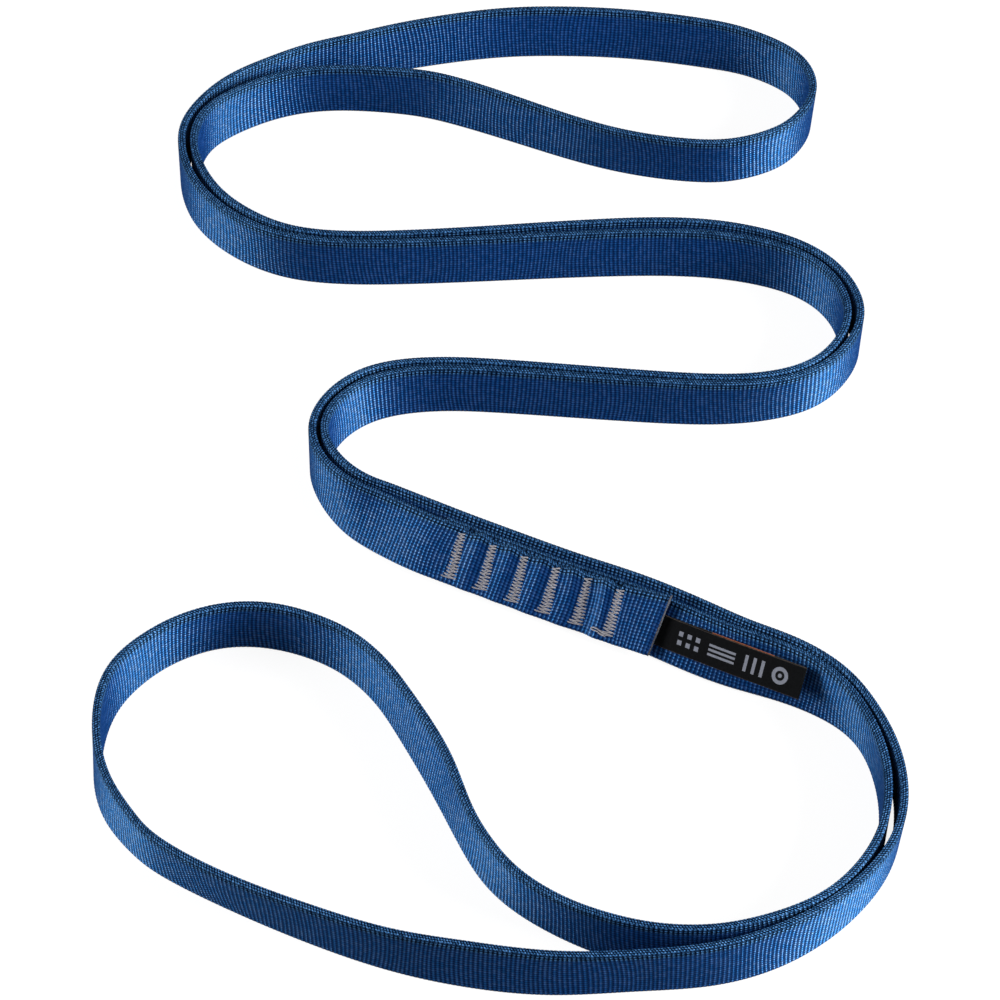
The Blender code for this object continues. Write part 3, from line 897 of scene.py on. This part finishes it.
tail = rounded_line(tail_bends, steps_per_bend)
tail_base = -half_thickness - layer_offset(tack_runs[-1])
tail_places = on_strip(tack_runs[-1] + tail[:, 0], tail[:, 1],
                       tail_base - thread_diameter / 2 - tail[:, 2])
piece = new_piece(thread_mesh("thread_tail", tail_places, False), thread_grey)
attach(piece, "sling")


# ---- Label -----------------------------------------------------------------------------------
# A black woven tape folded once at its tip, with both ends sewn in behind the tab. Its two plies
# part a little towards the fold, and a plain pattern in light grey is woven into the front one.
label_width = 0.0092
label_ply = 0.00032
label_free_length = 0.0443
label_lowering = 0.0002
label_stand_off = 0.0012
label_swung_out = math.radians(5)
label_tilt = math.radians(4.5)
label_flex_room = 0.00045
label_back_opening = 0.000315
label_front_opening = 0.000585
label_fold_ratio = 3
label_twist = math.radians(5)
label_rows = 14
label_columns = 60
pick_relief = 0.00007
tape_fuzz_scale = 1500
# On the tape's map, in millimetres from its middle line and from its fold.
picks_per_millimetre = 3.6
ends_per_millimetre = 2.8
frayed_from = 4.47
stripe_from = 4.0
stripe_reach = (-30.5, -10.5)
tape_black = (0.0008, 0.001, 0.0014)
pick_black = (0.011, 0.012, 0.014)
motif_dark_grey = (0.13, 0.14, 0.17)
motif_light_grey = (0.42, 0.44, 0.52)
frayed_brown = (0.13, 0.105, 0.09)
stripe_orange = (0.40, 0.13, 0.065)

flex_run = tab_end + label_stand_off
flex_depth = -(webbing_thickness + label_thickness) / 2 - seat
label_middle = (webbing_width - label_width) / 2 - label_lowering + label_width / 2
flex_place = on_strip_at(flex_run, label_middle, flex_depth)
flex_ahead, flex_rise, flex_out = (
    Vector(row[0]) for row in stations(np.array([flex_run]))[1:])
swung = Matrix.Rotation(-label_swung_out, 3, flex_rise)
tilted = Matrix.Rotation(-label_tilt, 3, swung @ flex_out)
free_ahead = tilted @ swung @ flex_ahead
free_out = swung @ flex_out
free_rise = tilted @ flex_rise
sewn_length = float(flex_run - label_end)


def label_place(run, height, depth):
    """A point of the label: run from the flex line, height from its middle, depth from its own."""
    sewn = on_strip_at(flex_run + run, label_middle + height, flex_depth + depth)
    turn = label_twist * max(0, run / label_free_length) ** 2
    around = free_rise * (height * math.cos(turn)) + free_out * (height * math.sin(turn))
    free = flex_place + free_ahead * run + around + free_out * depth
    share = float(eased((run + label_flex_room) / (2 * label_flex_room)))
    return sewn.lerp(free, share)


def label_profile():
    """Run and depth along the middle of the tape: down the back ply, round the fold and back."""
    back, front = [], []
    fold = label_thickness / 2 - label_ply / 2
    reach = label_fold_ratio * fold
    for step in range(label_columns + 1):
        run = -sewn_length + (sewn_length + label_free_length - reach) * step / label_columns
        parted = max(0, run) / label_free_length
        open_share = math.sin(math.pi * min(1, parted) ** 0.8)
        back.append((run, fold + label_back_opening * open_share))
        front.append((run, -fold - label_front_opening * open_share))
    start, end = back[-1], front[-1]
    middle = (start[1] + end[1]) / 2
    half = (start[1] - end[1]) / 2
    tip = [(start[0] + reach * math.sin(angle), middle + half * math.cos(angle))
           for angle in (math.radians(degrees) for degrees in range(20, 180, 20))]
    return back + tip + front[::-1]


label_path = label_profile()
path_legs = [math.dist(a, b) for a, b in zip(label_path, label_path[1:])]
path_runs = np.concatenate([[0], np.cumsum(path_legs)])


def label_mesh():
    """The tape as a thin closed band, with a map in millimetres along and across it."""
    heights = np.linspace(-label_width / 2, label_width / 2, label_rows + 1)
    layers = []
    for side in (-1, 1):
        layer = []
        for n, (run, depth) in enumerate(label_path):
            before, after = label_path[max(0, n - 1)], label_path[min(len(label_path) - 1, n + 1)]
            way = Vector((after[0] - before[0], after[1] - before[1])).normalized()
            run_side = run - way.y * side * label_ply / 2
            depth_side = depth + way.x * side * label_ply / 2
            layer.append([label_place(run_side, height, depth_side) for height in heights])
        layers.append(layer)
    count, across = len(label_path), label_rows + 1
    vertices = [point for layer in layers for row in layer for point in row]
    shift = count * across
    faces, uvs = [], []

    def corner(layer, n, m):
        return layer * shift + n * across + m

    def spot(n, m):
        return (path_runs[n] / millimetre, heights[m] / millimetre)

    for n in range(count - 1):
        for m in range(across - 1):
            ring = [(n, m), (n + 1, m), (n + 1, m + 1), (n, m + 1)]
            for layer in (0, 1):
                order = ring if layer == 0 else ring[::-1]
                faces.append([corner(layer, *place) for place in order])
                uvs += [spot(*place) for place in order]
    rim = [(n, 0) for n in range(count)] + [(count - 1, m) for m in range(1, across)]
    rim += [(n, across - 1) for n in range(count - 2, -1, -1)]
    rim += [(0, m) for m in range(across - 2, 0, -1)]
    for place, after in zip(rim, rim[1:] + rim[:1]):
        faces.append([corner(0, *place), corner(1, *place), corner(1, *after), corner(0, *after)])
        uvs += [spot(*place), spot(*place), spot(*after), spot(*after)]
    mesh = bpy.data.meshes.new("label_tape")
    mesh.from_pydata(vertices, [], faces)
    tape_map = mesh.uv_layers.new(name="tape")
    tape_map.uv.foreach_set("vector", np.array(uvs, np.float32).ravel())
    face_outward(mesh)
    mesh.polygons.foreach_set("use_smooth", [True] * len(mesh.polygons))
    mesh.set_sharp_from_angle(angle=sharp_edge)
    mesh.update()
    return mesh


def label_finish():
    """Black woven tape with fine picks, frayed edges, and a light-grey pattern on its map."""
    material, tree, shader = new_finish("black_label_tape", 0.8)
    along, across = map_axes(tree, "tape")
    from_fold = math_node(tree, "SUBTRACT", along,
                          float(path_runs[len(path_runs) // 2] / millimetre))

    def between(value, low, high):
        return math_node(tree, "MULTIPLY", math_node(tree, "GREATER_THAN", value, low),
                         math_node(tree, "LESS_THAN", value, high))

    def union(*shapes):
        result = shapes[0]
        for shape in shapes[1:]:
            result = math_node(tree, "MAXIMUM", result, shape)
        return result

    def box(low, high, bottom, top):
        return math_node(tree, "MULTIPLY", between(from_fold, low, high),
                         between(across, bottom, top))

    def from_spot(value, centre):
        return math_node(tree, "ABSOLUTE", math_node(tree, "SUBTRACT", value, centre))

    def ring(centre, inner, outer):
        reach = math_node(tree, "SQRT", math_node(
            tree, "ADD", math_node(tree, "POWER", from_spot(from_fold, centre), 2),
            math_node(tree, "POWER", from_spot(across, 0), 2)))
        return between(reach, inner, outer)

    motifs = union(
        ring(7.0, 1.4, 2.5), ring(7.0, -1, 0.6),
        *(box(start, start + 1.0, -2.4, 2.4) for start in (12.2, 14.8, 17.4)),
        *(box(21.4, 30.0, middle - 0.35, middle + 0.35) for middle in (1.35, 0, -1.35)),
        *(box(start, start + 1.4, middle - 0.7, middle + 0.7)
          for start in (33.0, 35.8, 38.6) for middle in (1.3, -1.3)))
    pick_number = math_node(tree, "MULTIPLY", along, picks_per_millimetre)
    picks = humped(tree, pick_number, 0.7)
    ends = humped(tree, math_node(
        tree, "MULTIPLY_ADD", math_node(tree, "FLOOR", pick_number), 0.5,
        math_node(tree, "MULTIPLY", across, ends_per_millimetre)), 0.7)
    weave = math_node(tree, "MULTIPLY", picks, ends)
    noise = noise_over_piece(tree, tape_fuzz_scale)
    black = mixed_colour(tree, math_node(tree, "MULTIPLY", weave, noise), tape_black, pick_black)
    grey = mixed_colour(tree, math_node(tree, "MULTIPLY_ADD", weave, 0.7, math_node(
        tree, "MULTIPLY", noise, 0.3)), motif_dark_grey, motif_light_grey)
    colour = mixed_colour(tree, motifs, black, grey)
    frayed = math_node(tree, "MULTIPLY", math_node(
        tree, "GREATER_THAN", math_node(tree, "ABSOLUTE", across), frayed_from),
        math_node(tree, "POWER", noise, 1.5))
    colour = mixed_colour(tree, frayed, colour, frayed_brown)
    stripe = math_node(tree, "MULTIPLY", between(from_fold, *stripe_reach),
                       math_node(tree, "GREATER_THAN", across, stripe_from))
    colour = mixed_colour(tree, stripe, colour, stripe_orange)
    tree.links.new(colour, shader.inputs["Base Color"])
    roughened(tree, shader, weave, pick_relief, 0.6)
    shader.inputs["Specular IOR Level"].default_value = 0.1
    return material


label = new_piece(label_mesh(), label_finish())
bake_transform(label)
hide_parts("label_sewn_end", "label_free_end")


# ---- Floor, light and camera -----------------------------------------------------------------
# A plain white floor and soft lamps low to the left and right, so that the sides that face the
# camera stay deep and the bends shine. The camera looks down at it as in the photograph.
floor_size = 8
floor_grey = (0.22, 0.22, 0.22, 1)
floor_glow = 0.90
# How far from the strands, and how sharply, the floor's glow is cut as painted shade.
painted_gap_shade_reach = 0.003
painted_gap_shade_contrast = 8
white = (1, 1, 1, 1)
world_light = 0.18
lamp_size = 0.9

bpy.ops.mesh.primitive_plane_add(size=floor_size)
floor = bpy.context.object
floor.name = "floor"
floor_white, tree, shader = new_finish("white_floor", 0.9)
shader.inputs["Base Color"].default_value = floor_grey
shader.inputs["Specular IOR Level"].default_value = 0
light_path = tree.nodes.new("ShaderNodeLightPath")
# The glow is cut where ambient occlusion finds the strands close: painted shade in the narrow gaps
# between strands and a thin painted contact shadow along their feet.
painted_gap_shade = tree.nodes.new("ShaderNodeAmbientOcclusion")
painted_gap_shade.inputs["Distance"].default_value = painted_gap_shade_reach
unshaded_glow = math_node(tree, "MULTIPLY_ADD", painted_gap_shade.outputs["AO"], painted_gap_shade_contrast, -1)
unshaded_glow = math_node(tree, "MAXIMUM", math_node(tree, "MINIMUM", unshaded_glow, 1), 0)
seen = math_node(tree, "MULTIPLY", light_path.outputs["Is Camera Ray"], floor_glow)
tree.links.new(math_node(tree, "MULTIPLY", seen, unshaded_glow), shader.inputs["Emission Strength"])
shader.inputs["Emission Color"].default_value = white
floor.data.materials.append(floor_white)

world = bpy.data.worlds.new("studio")
bpy.context.scene.world = world
world.use_nodes = True
world.node_tree.nodes["Background"].inputs["Color"].default_value = white
world.node_tree.nodes["Background"].inputs["Strength"].default_value = world_light


def soft_lamp(name, place, power):
    """A square lamp that faces the sling."""
    data = bpy.data.lights.new(name, "AREA")
    data.size = lamp_size
    data.energy = power
    lamp = bpy.data.objects.new(name, data)
    lamp.location = place
    lamp.rotation_euler = (-Vector(place)).to_track_quat("-Z", "Y").to_euler()
    bpy.context.scene.collection.objects.link(lamp)


soft_lamp("left_lamp", (-1.6, -0.14, 0.65), 25)
soft_lamp("right_lamp", (1.53, -0.48, 0.65), 50)

camera_pitch = math.radians(47.61)
camera_distance = 1.3706
lens_per_sensor = 4.68565
sight = Vector((0, math.cos(camera_pitch), -math.sin(camera_pitch)))
camera_data = bpy.data.cameras.new("camera")
camera_data.sensor_width = 36
camera_data.lens = camera_data.sensor_width * lens_per_sensor
camera_data.shift_x = -0.0003
camera_data.shift_y = 0.0041
camera_data.clip_start = 0.01
camera = bpy.data.objects.new("camera", camera_data)
camera.location = -Vector(line_middle) - sight * camera_distance
camera.rotation_euler = (math.pi / 2 - camera_pitch, 0, 0)
bpy.context.scene.collection.objects.link(camera)
bpy.context.scene.camera = camera
bpy.context.scene.view_settings.view_transform = "Standard"
